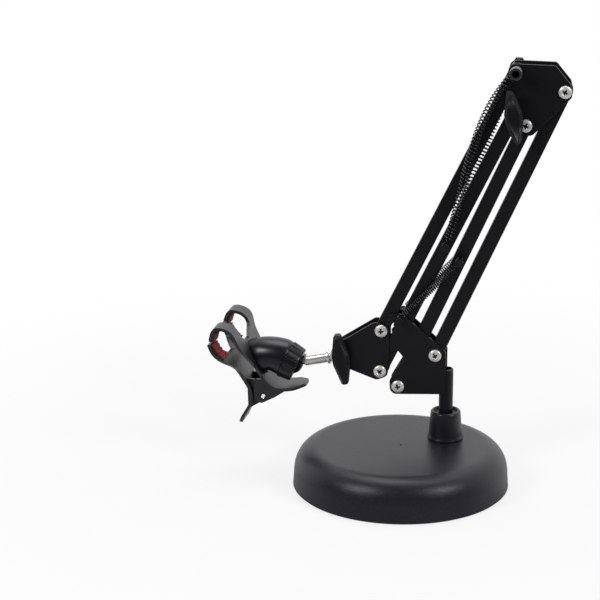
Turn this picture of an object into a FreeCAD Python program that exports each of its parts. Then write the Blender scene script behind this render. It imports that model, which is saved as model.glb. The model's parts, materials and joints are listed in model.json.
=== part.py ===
import FreeCAD, Part
import math
import os

from FreeCAD import Vector

# Phone stand: a weighted round base, a swivelling post, two parallelogram arms of square tube
# with outside springs, and a spring clip on a ball joint. Millimetres, +Z up. The origin is the
# centre of the underside of the base, the arms lie in a plane of constant Y, -X is the clip's side.

# Base
BASE_R = 74.5
BASE_H = 29.0
BASE_TOP_R = 60.5
BASE_WALL_H = 11.0
BASE_SHELL = 5.0
PAD_T = 1.0
PAD_R = 73.0

# Post and its socket
POST_X = 28.8
ARM_Y = 19.4
POST_R = 4.9
POST_BORE_R = 3.6
POST_TOP = 80.0
POST_FOOT = 13.0
COLLAR_H = 20.5
COLLAR_TOP_R = 10.2
COLLAR_FOOT_R = 11.7
SPIGOT_R = 8.0

# Clearances
RUN_FIT = 0.05
SEAT_GAP = 0.05
SIDE_GAP = 0.3

# Square tubes and the plates that hold them
TUBE_W = 9.4
TUBE_WALL = 1.0
SLEEVE_WALL = 0.8
ARM_L = 206.0
PLATE_T = 1.5
PLATE_IN = TUBE_W / 2 + SIDE_GAP
PLATE_OUT = PLATE_IN + PLATE_T
LOBE_R = 5.9

# Pivots in the arm plane: the first one on the post, the tubes' slopes, the spans between the two
# pivots of a plate, and the steps from one pivot to the next
LOWER_SLOPE = 66.1
UPPER_SLOPE = 64.5
BASE_LEAD = (-4.1, 67.2)
BASE_SPAN = (25.5, 23.8)
ELBOW_SPAN = (-0.6, -29.4)
ELBOW_STEP = (-6.8, 37.4)
STUD_STEP = (1.1, 49.8)
EYE_STEP = (-26.9, -20.2)
BALL_STEP = (-36.0, -7.8)
HINGE_STEP = (-18.2, -22.9)

# Fasteners
SCREW_R = 2.0
SCREW_HEAD_R = 4.4
SCREW_HEAD_T = 2.2
NUT_R = 4.0
NUT_T = 3.2
CAP_SHANK_R = 2.5
CAP_HEAD_R = 4.3
CAP_HEAD_T = 5.0
CAP_SOCKET_R = 2.5
BOLT_R = 2.5
BOLT_HEAD_R = 4.6

# Springs and their pins
SPRING_R = 3.25
SPRING_WALL = 0.9
SPRING_Y = PLATE_OUT + 0.35 + SPRING_R
HOOK_WIRE_R = 0.55
HOOK_R = 2.6
HOOK_LEN = 7.0
PIN_R = 1.75
PIN_HEAD_R = 2.9
PIN_END = SPRING_Y + 3.2
LOWER_PIN_AT = 102.0
UPPER_PIN_AT = 103.0
UPPER_BOW = 5.6

# Wing nuts
WING_L = 36.0
WING_W = 12.0
WING_TIP_W = 4.4
WING_T = 6.8
ELBOW_WING_IN = SPRING_Y + SPRING_R + 0.5
HEAD_WING_IN = PLATE_OUT + 2.2
WING_HUB_R = 5.0
WING_LEAN = 10.0

# Chrome rod with its eye and ball
EYE_R = 8.5
BALL_R = 8.0
ROD_R = 4.15
NECK_R = 2.9
NECK_END = 9.8
NECK_TAPER = 1.5
ROD_COLLAR_AT = 25.5

# Ball socket, friction cup and lock ring
SOCKET_SLOPE = -25.9
CUP_R = 9.0
SOCKET_R = 12.6
THREAD_R = 10.7
RING_BACK = -5.2
RING_FRONT = 4.5
RING_BACK_R = 13.4
RING_FRONT_R = 12.3
RING_BORE_R = 11.0
RING_MOUTH_R = 7.4
RING_RIBS = 18

# Clip: the two bent strips are given as points seen from the hinge, lever end first
CLIP_YAW = 4.5
HINGE_TUBE_R = 2.4
HINGE_HOLE_R = 1.6
CLIP_T = 2.2
CLIP_W = 54.0
CLAW_W = 13.0
LEVER_W = 23.0
LEVER_TIP_W = 10.0
EAR_T = 2.0
EAR_A_IN = 9.0
EAR_B_IN = 6.6
EAR_LOBE_R = 4.1
RUBBER_T = 2.2
CLIP_COIL_R = 3.4
CLIP_COIL_WIRE = 0.55
STRIP_A = [(29.1, 8.7), (22.1, 7.1), (16.2, 6.1), (10.3, 5.9), (5.4, 7.2), (2.2, 10.2), (-0.8, 14.2),
           (-3.3, 18.6), (-6.6, 25.6), (-12.2, 34.4), (-15.6, 40.8), (-18.2, 47.6), (-21.7, 50.7),
           (-26.0, 51.9), (-29.9, 51.6), (-32.6, 47.9), (-34.2, 41.7)]
STRIP_B = [(-16.2, -20.6), (-10.6, -9.4), (-8.4, -3.6), (-8.8, 2.1), (-10.4, 6.4), (-13.1, 10.8),
           (-17.2, 18.6), (-20.0, 23.9), (-24.2, 27.1), (-29.5, 31.2), (-33.0, 36.0), (-34.6, 40.2)]


def at(x, z, side=0.0):
    """Point in the arm plane, or beside it: negative side is toward the near plates."""
    return Vector(x, ARM_Y + side, z)


def along(start, slope, distance):
    """Point at a distance from start along a slope given in degrees."""
    angle = math.radians(slope)
    return (start[0] + distance * math.cos(angle), start[1] + distance * math.sin(angle))


def shifted(point, span):
    return (point[0] + span[0], point[1] + span[1])


BASE_FOLLOW = shifted(BASE_LEAD, BASE_SPAN)
LOW_LEAD = along(BASE_LEAD, LOWER_SLOPE, ARM_L)
LOW_FOLLOW = shifted(LOW_LEAD, BASE_SPAN)
ELBOW_LEAD = shifted(LOW_LEAD, ELBOW_STEP)
ELBOW_FOLLOW = shifted(ELBOW_LEAD, ELBOW_SPAN)
HEAD_LEAD = along(ELBOW_LEAD, UPPER_SLOPE, -ARM_L)
HEAD_FOLLOW = shifted(HEAD_LEAD, ELBOW_SPAN)
LOWER_PIN = along(BASE_LEAD, LOWER_SLOPE, LOWER_PIN_AT)
UPPER_PIN = along(HEAD_FOLLOW, UPPER_SLOPE, UPPER_PIN_AT)
STUD = shifted(BASE_LEAD, STUD_STEP)
EYE = shifted(HEAD_LEAD, EYE_STEP)
BALL = shifted(EYE, BALL_STEP)
HINGE = shifted(BALL, HINGE_STEP)
HALF_A = [shifted(HINGE, step) for step in STRIP_A]
HALF_B = [shifted(HINGE, step) for step in STRIP_B]


def outline(corners, place):
    """Closed wire through corners (u, v, radius), each corner rounded; place turns u, v into a point."""
    cuts = []
    count = len(corners)
    for i in range(count):
        u, v, radius = corners[i]
        here = place(u, v)
        back = place(*corners[i - 1][:2]) - here
        on = place(*corners[(i + 1) % count][:2]) - here
        back.normalize()
        on.normalize()
        half = back.getAngle(on) / 2
        reach = radius / math.tan(half)
        middle = back + on
        middle.normalize()
        crown = here + middle * (radius / math.sin(half) - radius)
        cuts.append((here + back * reach, crown, here + on * reach, radius))
    edges = []
    for i in range(count):
        first, crown, last, radius = cuts[i]
        if radius > 0:
            edges.append(Part.Arc(first, crown, last).toShape())
        edges.append(Part.LineSegment(last, cuts[(i + 1) % count][0]).toShape())
    return Part.Wire(edges)


def prism(corners, place, sweep):
    return Part.Face(outline(corners, place)).extrude(sweep)


def across(point, first, last, radius):
    """Round bar across the arm plane, between two sides of it."""
    return Part.makeCylinder(radius, last - first, at(point[0], point[1], first), Vector(0, 1, 0))


def turned(profile, centre, axis):
    """Solid of revolution: profile points are (distance along the axis, radius)."""
    axis = Vector(axis)
    axis.normalize()
    side = Vector(0, 1, 0) if abs(axis.y) < 0.9 else Vector(1, 0, 0)
    points = [centre + axis * h + side * r for h, r in profile]
    face = Part.Face(Part.makePolygon(points + points[:1]))
    return face.revolve(centre, axis, 360)


def fuse(first, *others):
    return first.multiFuse(list(others)).removeSplitter()


def group(*solids):
    return Part.makeCompound(list(solids))


def save(shape, node):
    shape.exportStep("parts/" + node + ".step")


def save_on_ball(shape, node):
    """Piece of the clip, which hangs from the ball turned a little about the upright."""
    shape.rotate(at(*BALL), Vector(0, 0, 1), -CLIP_YAW)
    save(shape, node)


def plate(corners, holes, side):
    """Near (-1) or far (+1) steel plate with its screw holes."""
    start = -PLATE_OUT if side < 0 else PLATE_IN
    shape = prism(corners, lambda x, z: at(x, z, start), Vector(0, PLATE_T, 0))
    for point, radius in holes:
        shape = shape.cut(across(point, -2 * PLATE_OUT, 2 * PLATE_OUT, radius + SEAT_GAP))
    return shape


def tube(lead, slope, far_pivot_r=SCREW_R, pin_at=None):
    """Square tube, open along its length, nipped round about the pivot at each end."""
    half = TUBE_W / 2
    inner = half - TUBE_WALL
    body = fuse(Part.makeBox(ARM_L, TUBE_W, TUBE_W, Vector(0, -half, -half)),
                Part.makeCylinder(half, TUBE_W, Vector(0, -half, 0), Vector(0, 1, 0)),
                Part.makeCylinder(half, TUBE_W, Vector(ARM_L, -half, 0), Vector(0, 1, 0)))
    body = body.cut(Part.makeBox(ARM_L + 2 * TUBE_W, 2 * inner, 2 * inner, Vector(-TUBE_W, -inner, -inner)))
    for where, pivot_r in ((0.0, SCREW_R), (ARM_L, far_pivot_r)):
        sleeve = Part.makeCylinder(pivot_r + SLEEVE_WALL, TUBE_W, Vector(where, -half, 0), Vector(0, 1, 0))
        bore = Part.makeCylinder(pivot_r + RUN_FIT, TUBE_W, Vector(where, -half, 0), Vector(0, 1, 0))
        body = fuse(body, sleeve).cut(bore)
    if pin_at is not None:
        body = body.cut(Part.makeCylinder(PIN_R + SEAT_GAP, TUBE_W, Vector(pin_at, -half, 0), Vector(0, 1, 0)))
    body.rotate(Vector(0, 0, 0), Vector(0, 1, 0), -slope)
    body.translate(at(*lead))
    return body


def cross_recess(face, radius):
    """Cross slot sunk into a screw head whose face looks toward -Y."""
    arm = 0.55
    deep = 1.2
    one = Part.makeBox(2 * radius, deep, 2 * arm, face + Vector(-radius, 0, -arm))
    two = Part.makeBox(2 * arm, deep, 2 * radius, face + Vector(-arm, 0, -radius))
    return one.fuse(two)


def pan_screw(point, shank_r=SCREW_R):
    """Domed cross-head screw through both plates, head on the near side."""
    head = turned([(0, 0), (0, SCREW_HEAD_R), (0.9, SCREW_HEAD_R), (1.7, 0.75 * SCREW_HEAD_R),
                   (SCREW_HEAD_T, 0.4 * SCREW_HEAD_R), (SCREW_HEAD_T, 0)],
                  at(point[0], point[1], -PLATE_OUT), Vector(0, -1, 0))
    shank = across(point, -PLATE_OUT, PLATE_OUT + NUT_T + 1.0, shank_r)
    slot = cross_recess(at(point[0], point[1], -PLATE_OUT - SCREW_HEAD_T), 0.5 * SCREW_HEAD_R)
    return fuse(head, shank).cut(slot)


def hex_bar(point, first, last, corner_r):
    corners = [(point[0] + corner_r * math.cos(math.radians(60 * k)),
                point[1] + corner_r * math.sin(math.radians(60 * k)), 0) for k in range(6)]
    return prism(corners, lambda x, z: at(x, z, first), Vector(0, last - first, 0))


def hex_nut(point, bore_r, first, thick, corner_r):
    nut = hex_bar(point, first, first + thick, corner_r)
    return nut.cut(across(point, first, first + thick, bore_r + SEAT_GAP))


def clamp_bolt(point, wing_in):
    """Bolt with its hex head on the far side and its thread under the wing nut."""
    head = hex_bar(point, PLATE_OUT, PLATE_OUT + 3.6, BOLT_HEAD_R)
    return fuse(head, across(point, -wing_in - 3.0, PLATE_OUT, BOLT_R))


def wing_nut(point, wing_in):
    """Moulded two-lobed wing nut on the near side, its long way leaning a little off upright."""
    wing_out = wing_in + WING_T
    far = WING_L / 2
    wide = WING_W / 2
    tip = WING_TIP_W / 2
    corners = [(-tip, far, 1.8), (tip, far, 1.8), (wide, 3.0, 5.0), (wide, -3.0, 5.0),
               (tip, -far, 1.8), (-tip, -far, 1.8), (-wide, -3.0, 5.0), (-wide, 3.0, 5.0)]
    wing = prism(corners, lambda u, v: Vector(u, -wing_out, v), Vector(0, WING_T, 0))
    front = [edge for edge in wing.Edges if abs(edge.BoundBox.YMax + wing_out) < 0.01]
    wing = wing.makeChamfer(2.0, front)
    hub = Part.makeCylinder(WING_HUB_R, wing_in - PLATE_OUT - SIDE_GAP + 1.0, Vector(0, -wing_in - 1.0, 0),
                            Vector(0, 1, 0))
    bore = Part.makeCylinder(BOLT_R + RUN_FIT, wing_in + 3.4, Vector(0, -wing_in - 3.4, 0), Vector(0, 1, 0))
    shape = fuse(wing, hub).cut(bore)
    shape.rotate(Vector(0, 0, 0), Vector(0, 1, 0), -WING_LEAN)
    shape.translate(at(*point))
    return shape


def cross_pin(point):
    """Headed pin through a tube that carries one spring hook on each side."""
    bar = across(point, -PIN_END, PIN_END, PIN_R)
    heads = [across(point, PIN_END, PIN_END + 1.2, PIN_HEAD_R),
             across(point, -PIN_END - 1.2, -PIN_END, PIN_HEAD_R)]
    return fuse(bar, *heads)


def spring(first, last, side, first_pin_r, last_pin_r, bow=0.0):
    """Extension spring drawn as its sleeve, with a wire eye round the pin at each end; a spring that
    hangs clear of its tube bows out sideways by the given amount."""
    start = at(first[0], first[1], side * SPRING_Y)
    end = at(last[0], last[1], side * SPRING_Y)
    chord = end - start
    length = chord.Length
    chord.normalize()
    outward = Vector(-chord.z, 0, chord.x)
    pieces = []
    if bow > 0:
        radius = length ** 2 / (8 * bow) + bow / 2
        centre = start + chord * (length / 2) - outward * (radius - bow)
        half_turn = math.degrees(math.asin(length / 2 / radius))
        hook_turn = math.degrees(HOOK_LEN / radius)
        ring = Part.Face(Part.Wire([Part.makeCircle(SPRING_R, centre + outward * radius, chord)]))
        ring = ring.cut(Part.Face(Part.Wire([Part.makeCircle(SPRING_R - SPRING_WALL, centre + outward * radius,
                                                             chord)])))
        turn = 2 * (half_turn - hook_turn)
        ring.rotate(centre, Vector(0, 1, 0), -turn / 2)
        pieces.append(ring.revolve(centre, Vector(0, 1, 0), turn))
    else:
        half_turn = 0.0
        pieces.append(turned([(HOOK_LEN, SPRING_R - SPRING_WALL), (HOOK_LEN, SPRING_R),
                              (length - HOOK_LEN, SPRING_R), (length - HOOK_LEN, SPRING_R - SPRING_WALL)],
                             start, chord))
    lean = math.radians(half_turn)
    for centre, inward, pin_r in ((start, chord, first_pin_r), (end, chord * -1, last_pin_r)):
        way = inward * math.cos(lean) + outward * math.sin(lean)
        eye_r = pin_r + HOOK_WIRE_R + 0.25
        pieces.append(Part.makeTorus(eye_r, HOOK_WIRE_R, centre, Vector(0, 1, 0)))
        neck = HOOK_LEN + 0.5 - eye_r
        pieces.append(Part.makeCylinder(HOOK_WIRE_R, neck, centre + way * eye_r, way))
        pieces.append(Part.makeCylinder(SPRING_R - 0.2, 0.8, centre + way * HOOK_LEN, way))
    return fuse(*pieces)


def band(points, low, high, start, stop, first, last):
    """Bent strip: the part of a spline between two shares of its length, between two offsets from
    it, carried across from one side of the arm plane to the other."""
    curve = Part.BSplineCurve()
    curve.interpolate([at(x, z, first) for x, z in points])
    steps = max(8, int(64 * (stop - start)))
    above = []
    below = []
    for i in range(steps + 1):
        share = start + (stop - start) * i / steps
        knot = curve.FirstParameter + (curve.LastParameter - curve.FirstParameter) * share
        here = curve.value(knot)
        tangent = curve.tangent(knot)[0]
        normal = Vector(-tangent.z, 0, tangent.x)
        above.append(here + normal * high)
        below.append(here + normal * low)
    below.reverse()
    top = Part.BSplineCurve()
    top.interpolate(above)
    bottom = Part.BSplineCurve()
    bottom.interpolate(below)
    edges = [top.toShape(), Part.LineSegment(above[-1], below[0]).toShape(), bottom.toShape(),
             Part.LineSegment(below[-1], above[0]).toShape()]
    return Part.Face(Part.Wire(edges)).extrude(Vector(0, last - first, 0))


def fork(flare, saddle, low):
    """Front view of a clip half: a lever below, flaring to two claws with a saddle between them.
    Flare is a list of half width and height; heights are seen from the hinge."""
    root = LEVER_W / 2
    inner = CLIP_W / 2 - CLAW_W
    high = 2 * CLIP_W
    right = [(root, low, 6.0)] + [(half, height, 12.0) for half, height in flare]
    right += [(CLIP_W / 2, high, 0), (inner, high, 0), (inner, saddle + 6.0, 4.0), (inner / 3, saddle, 3.5)]
    left = [(-half, height, radius) for half, height, radius in reversed(right)]
    back = HINGE[0] - CLIP_W
    return prism(right + left, lambda y, z: Vector(back, ARM_Y + y, HINGE[1] + z), Vector(2 * CLIP_W, 0, 0))


def ears(corners, inner):
    """Pair of hinge ears, one on each side, from a profile seen from the hinge."""
    sides = []
    for first in (-inner - EAR_T, inner):
        ear = prism(corners, lambda x, z: at(HINGE[0] + x, HINGE[1] + z, first), Vector(0, EAR_T, 0))
        lobe = across(HINGE, first, first + EAR_T, EAR_LOBE_R)
        hole = across(HINGE, first - 1, first + EAR_T + 1, HINGE_TUBE_R + RUN_FIT)
        sides.append(ear.fuse(lobe).cut(hole))
    return sides


def jaw_rubber(points, sign, start, stop):
    """Two toothed rubber pads inside the claw tips of one clip half."""
    pads = []
    near = CLIP_T / 2 + SEAT_GAP
    low = near if sign > 0 else -near - RUBBER_T
    crest = sign * (near + RUBBER_T)
    for first in (-CLIP_W / 2 + 0.6, CLIP_W / 2 - CLAW_W + 0.6):
        last = first + CLAW_W - 1.2
        pad = band(points, low, low + RUBBER_T, start, stop, first, last)
        curve = Part.BSplineCurve()
        curve.interpolate([at(x, z, first) for x, z in points])
        for i in range(4):
            share = start + (stop - start) * (i + 0.5) / 4
            knot = curve.FirstParameter + (curve.LastParameter - curve.FirstParameter) * share
            tangent = curve.tangent(knot)[0]
            groove = curve.value(knot) + Vector(-tangent.z, 0, tangent.x) * (crest + sign * 0.25)
            pad = pad.cut(Part.makeCylinder(0.75, last - first, groove, Vector(0, 1, 0)))
        pads.append(pad)
    return group(*pads)


os.makedirs("parts", exist_ok=True)

# Base casting, hollow from below, with a boss for the socket and a small centre mark on top.
wall = Part.LineSegment(Vector(BASE_R, 0, PAD_T), Vector(BASE_R - 0.6, 0, BASE_WALL_H)).toShape()
shoulder = Part.Arc(Vector(BASE_R - 0.6, 0, BASE_WALL_H), Vector(BASE_R - 4.6, 0, BASE_H - 7.2),
                    Vector(BASE_TOP_R, 0, BASE_H - 0.8)).toShape()
rest = Part.makePolygon([Vector(BASE_TOP_R, 0, BASE_H - 0.8), Vector(BASE_TOP_R - 1.0, 0, BASE_H),
                         Vector(0, 0, BASE_H), Vector(0, 0, BASE_H - BASE_SHELL),
                         Vector(BASE_TOP_R - 4.0, 0, BASE_H - BASE_SHELL),
                         Vector(BASE_R - BASE_SHELL, 0, BASE_WALL_H), Vector(BASE_R - BASE_SHELL, 0, PAD_T),
                         Vector(BASE_R, 0, PAD_T)])
base = Part.Face(Part.Wire([wall, shoulder] + rest.Edges)).revolve(Vector(0, 0, 0), Vector(0, 0, 1), 360)
boss = Part.makeCylinder(SPIGOT_R + 4.0, BASE_H - 2 - PAD_T - 1.0, Vector(POST_X, ARM_Y, PAD_T + 1.0))
seat = Part.makeCylinder(SPIGOT_R + SEAT_GAP, BASE_H, Vector(POST_X, ARM_Y, POST_FOOT - 2.5))
mark = Part.makeSphere(1.2, Vector(0, 0, BASE_H + 0.5))
base = fuse(base, boss).cut(seat).cut(mark)
save(base, "base_weight")
save(Part.makeCylinder(PAD_R, PAD_T), "foot_pad")

# Socket collar: spigot in the base, flared foot, tapered barrel, rounded rim round a sunk mouth.
collar_profile = [(POST_FOOT - 2.3, 0), (POST_FOOT - 2.3, SPIGOT_R), (BASE_H + SEAT_GAP, SPIGOT_R),
                  (BASE_H + SEAT_GAP, COLLAR_FOOT_R + 0.7), (BASE_H + 1.6, COLLAR_FOOT_R + 0.6),
                  (BASE_H + 2.4, COLLAR_FOOT_R), (BASE_H + COLLAR_H - 0.9, COLLAR_TOP_R + 0.2),
                  (BASE_H + COLLAR_H, COLLAR_TOP_R - 0.7), (BASE_H + COLLAR_H, COLLAR_TOP_R - 1.8),
                  (BASE_H + COLLAR_H - 2.0, COLLAR_TOP_R - 2.6), (BASE_H + COLLAR_H - 2.0, 0)]
post_axis = Vector(POST_X, ARM_Y, 0)
collar = turned(collar_profile, post_axis, Vector(0, 0, 1))
bore = Part.makeCylinder(POST_R + RUN_FIT, BASE_H + COLLAR_H, Vector(POST_X, ARM_Y, POST_FOOT - 0.3))
save(collar.cut(bore), "post_socket")

# Post: closed at the foot, an open tube at the top, standing between the base plates.
post = turned([(POST_FOOT, 0), (POST_FOOT, POST_R - 0.6), (POST_FOOT + 0.6, POST_R), (POST_TOP - 0.5, POST_R),
               (POST_TOP, POST_R - 0.5), (POST_TOP, POST_BORE_R), (POST_TOP - 40, POST_BORE_R),
               (POST_TOP - 40, 0)], post_axis, Vector(0, 0, 1))
save(post, "post")

# Base plates: a boomerang round both lower pivots, welded to the post, with a lug for the spring stud
# and a curled finger beside it, cut free by a zigzag slot.
lx, lz = BASE_LEAD
fx, fz = BASE_FOLLOW
sx, sz = STUD
base_corners = [(sx - 2.2, sz + 3.0, 1.4), (sx + 2.2, sz + 2.2, 1.6), (POST_X, fz + 2.9, 4.0),
                (POST_X, lz - LOBE_R + 1.8, 0.6), (lx + 3.0, lz - LOBE_R + 0.4, 3.0),
                (lx - LOBE_R + 0.6, lz - LOBE_R + 0.2, 4.6), (lx - LOBE_R, lz + 4.0, 3.0),
                (lx + 3.7, lz + 21.2, 1.2), (lx + 0.2, lz + 25.6, 1.5), (lx - 5.9, lz + 27.5, 2.0),
                (lx - 5.9, lz + 34.4, 1.0), (lx - 4.3, lz + 37.7, 0.8), (lx - 4.8, lz + 41.5, 0.8),
                (sx - 3.0, sz - 5.2, 0.7), (sx - 4.2, sz - 3.4, 0.7), (sx - 6.5, sz - 5.3, 0.8),
                (sx - 8.3, sz - 6.7, 0.6), (sx - 9.5, sz - 3.4, 1.5), (sx - 9.4, sz - 1.2, 2.0),
                (sx - 7.6, sz + 1.8, 2.0), (sx - 4.6, sz + 2.6, 1.6)]
base_holes = [(BASE_LEAD, SCREW_R), (BASE_FOLLOW, SCREW_R)]
for side, node in ((-1, "base_plate_near"), (1, "base_plate_far")):
    stud = fuse(across(STUD, PLATE_IN, PIN_END, PIN_R - 0.25), across(STUD, PIN_END, PIN_END + 1.0, PIN_R + 0.6))
    if side < 0:
        stud = stud.mirror(at(0, 0), Vector(0, 1, 0))
    save(fuse(plate(base_corners, base_holes, side), stud), node)
save(group(*[pan_screw(p) for p in (BASE_LEAD, BASE_FOLLOW)]), "base_pivot_screws")
save(group(*[hex_nut(p, SCREW_R, PLATE_OUT, NUT_T, NUT_R) for p in (BASE_LEAD, BASE_FOLLOW)]),
     "base_pivot_nuts")

# Lower arm
save(tube(BASE_LEAD, LOWER_SLOPE, pin_at=LOWER_PIN_AT), "lower_tube_lead")
save(tube(BASE_FOLLOW, LOWER_SLOPE), "lower_tube_follow")
save(cross_pin(LOWER_PIN), "lower_spring_pin")
save(spring(STUD, LOWER_PIN, -1, PIN_R - 0.25, PIN_R), "lower_spring_near")
save(spring(STUD, LOWER_PIN, 1, PIN_R - 0.25, PIN_R), "lower_spring_far")

# Elbow plates: a six-sided pair that joins all four tubes, plain screws on the lower arm's pivots.
ex, ez = ELBOW_LEAD
ux, uz = LOW_FOLLOW
dx, dz = LOW_LEAD
wx, wz = ELBOW_FOLLOW
elbow_corners = [(ex - LOBE_R + 0.4, ez + 4.4, 4.5), (ex + 25.6, ez + 4.0, 2.5), (ux + 3.2, uz + 5.6, 2.5),
                 (ux + 5.1, uz - 3.2, 4.5), (dx + 4.6, dz - 6.6, 5.0), (dx - 2.2, dz - 7.4, 5.0),
                 (wx - LOBE_R, wz - 5.2, 5.0)]
elbow_holes = [(ELBOW_LEAD, CAP_SHANK_R), (ELBOW_FOLLOW, BOLT_R), (LOW_LEAD, SCREW_R), (LOW_FOLLOW, SCREW_R)]
save(plate(elbow_corners, elbow_holes, -1), "elbow_plate_near")
save(plate(elbow_corners, elbow_holes, 1), "elbow_plate_far")
save(group(*[pan_screw(p) for p in (LOW_LEAD, LOW_FOLLOW)]), "elbow_pivot_screws")
save(group(*[hex_nut(p, SCREW_R, PLATE_OUT, NUT_T, NUT_R) for p in (LOW_LEAD, LOW_FOLLOW)]),
     "elbow_pivot_nuts")

# Hex-socket screw on the upper lead pivot: long enough to carry a spring hook outside each plate.
cap = fuse(across(ELBOW_LEAD, -PIN_END - CAP_HEAD_T, -PIN_END, CAP_HEAD_R),
           across(ELBOW_LEAD, -PIN_END, PIN_END + NUT_T + 1.0, CAP_SHANK_R))
cap = cap.cut(hex_bar(ELBOW_LEAD, -PIN_END - CAP_HEAD_T, -PIN_END - 1.0, CAP_SOCKET_R))
save(cap, "spring_cap_screw")
save(hex_nut(ELBOW_LEAD, CAP_SHANK_R, PIN_END, NUT_T, NUT_R + 0.6), "spring_cap_nut")
save(clamp_bolt(ELBOW_FOLLOW, ELBOW_WING_IN), "elbow_clamp_bolt")
save(wing_nut(ELBOW_FOLLOW, ELBOW_WING_IN), "elbow_wing_nut")

# Upper arm
save(tube(HEAD_LEAD, UPPER_SLOPE, CAP_SHANK_R), "upper_tube_lead")
save(tube(HEAD_FOLLOW, UPPER_SLOPE, BOLT_R, UPPER_PIN_AT), "upper_tube_follow")
save(cross_pin(UPPER_PIN), "upper_spring_pin")
save(spring(UPPER_PIN, ELBOW_LEAD, -1, PIN_R, CAP_SHANK_R, UPPER_BOW), "upper_spring_near")
save(spring(UPPER_PIN, ELBOW_LEAD, 1, PIN_R, CAP_SHANK_R, UPPER_BOW), "upper_spring_far")

# Head plates: five-sided, the two upper-arm pivots on the right, the clamped eye on the left.
hx, hz = HEAD_LEAD
gx, gz = HEAD_FOLLOW
head_corners = [(EYE[0] - 5.2, EYE[1] + 8.4, 4.0), (hx - 4.4, hz + LOBE_R + 0.4, 5.0),
                (hx + 5.6, hz + 2.4, 4.5), (gx + 5.6, gz - 3.4, 5.0), (gx - 2.2, gz - LOBE_R - 0.6, 5.0),
                (EYE[0] - 5.2, EYE[1] - 5.0, 4.0)]
head_holes = [(HEAD_LEAD, SCREW_R), (HEAD_FOLLOW, SCREW_R), (EYE, BOLT_R)]
save(plate(head_corners, head_holes, -1), "head_plate_near")
save(plate(head_corners, head_holes, 1), "head_plate_far")
save(group(*[pan_screw(p) for p in (HEAD_LEAD, HEAD_FOLLOW)]), "head_pivot_screws")
save(group(*[hex_nut(p, SCREW_R, PLATE_OUT, NUT_T, NUT_R) for p in (HEAD_LEAD, HEAD_FOLLOW)]),
     "head_pivot_nuts")
save(clamp_bolt(EYE, HEAD_WING_IN), "head_clamp_bolt")
save(wing_nut(EYE, HEAD_WING_IN), "head_wing_nut")

# Chrome rod: flat-sided eye between the head plates, thin collar, waisted neck and ball.
ball = at(*BALL)
rod_way = at(*EYE) - ball
rod_length = rod_way.Length
rod_way.normalize()
side = Vector(0, 1, 0)
waist = math.sqrt(BALL_R ** 2 - NECK_R ** 2)
steps = [(waist, NECK_R), (NECK_END - NECK_TAPER, NECK_R), (NECK_END, ROD_R), (ROD_COLLAR_AT, ROD_R),
         (ROD_COLLAR_AT, ROD_R + 1.2), (ROD_COLLAR_AT + 1.8, ROD_R + 1.2), (ROD_COLLAR_AT + 1.8, ROD_R),
         (rod_length, ROD_R), (rod_length, 0), (-BALL_R, 0)]
lines = Part.makePolygon([ball + rod_way * h + side * r for h, r in steps])
round_end = Part.Arc(ball - rod_way * BALL_R, ball + side * BALL_R, ball + rod_way * waist + side * NECK_R)
rod = Part.Face(Part.Wire([round_end.toShape()] + lines.Edges)).revolve(ball, rod_way, 360)
eye_half = PLATE_IN - SIDE_GAP
rod = fuse(rod, across(EYE, -eye_half, eye_half, EYE_R))
save(rod.cut(across(EYE, -PLATE_OUT, PLATE_OUT, BOLT_R + RUN_FIT)), "head_rod")

# Friction cup behind the ball, concentric with the rod.
cup = Part.makeSphere(CUP_R, ball).cut(Part.makeSphere(BALL_R + RUN_FIT, ball))
cup_edge = CUP_R * math.cos(math.radians(108))
keep = Part.makeCylinder(CUP_R + 1, CUP_R + 1, ball + rod_way * (cup_edge - CUP_R - 1), rod_way)
save(cup.common(keep), "ball_liner")

# Clip half A: lever pad, strut and two claws cut from one bent strip, with a pair of hinge ears.
wide = CLIP_W / 2
pad_half = LEVER_W / 2
tip_half = LEVER_TIP_W / 2
strip_a = band(HALF_A, -CLIP_T / 2, CLIP_T / 2, 0, 1, -wide, wide)
front_a = fork([(pad_half + 0.5, 17.5), (wide - 5.0, 34.0), (wide, 49.0)], 38.0, -CLIP_W / 2)
lever_end = STRIP_A[0][0] + 0.3
lever_plan = [(lever_end, -tip_half, 4.5), (lever_end, tip_half, 4.5), (lever_end - 7.0, pad_half, 6.0),
              (-5.0, pad_half + 2, 2.0), (-6.0, wide + 2, 0), (-CLIP_W, wide + 2, 0), (-CLIP_W, -wide - 2, 0),
              (-6.0, -wide - 2, 0), (-5.0, -pad_half - 2, 2.0), (lever_end - 7.0, -pad_half, 6.0)]
plan_a = prism(lever_plan, lambda x, y: Vector(HINGE[0] + x, ARM_Y + y, HINGE[1] - CLIP_W),
               Vector(0, 0, 2 * CLIP_W))
ears_a = ears([(0.4, 12.4, 0), (2.2, 10.0, 0), (5.4, 7.0, 0), (10.3, 5.8, 0), (15.9, 6.0, 0), (16.2, 5.2, 0),
               (7.9, -0.5, 0), (-1.3, -5.4, 1.5), (-6.0, -3.1, 2.5), (-6.6, 3.9, 3.0), (-6.2, 12.0, 2.0)],
              EAR_A_IN)
save_on_ball(fuse(strip_a.common(front_a).common(plan_a), *ears_a), "clip_half_a")

# Clip half B: the same kind of strip turned the other way, its ears inside those of half A.
strip_b = band(HALF_B, -CLIP_T / 2, CLIP_T / 2, 0, 1, -wide, wide)
front_b = fork([(pad_half + 0.5, 17.0), (wide, 28.0)], 27.8, -CLIP_W / 2 + 4.0)
ears_b = ears([(-12.0, 11.4, 0), (-6.5, 11.0, 2.0), (0.5, EAR_LOBE_R - 0.6, 1.0), (0.5, -EAR_LOBE_R + 0.6, 1.0),
               (-11.2, -10.9, 0)], EAR_B_IN)
save_on_ball(fuse(strip_b.common(front_b), *ears_b), "clip_half_b")

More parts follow.
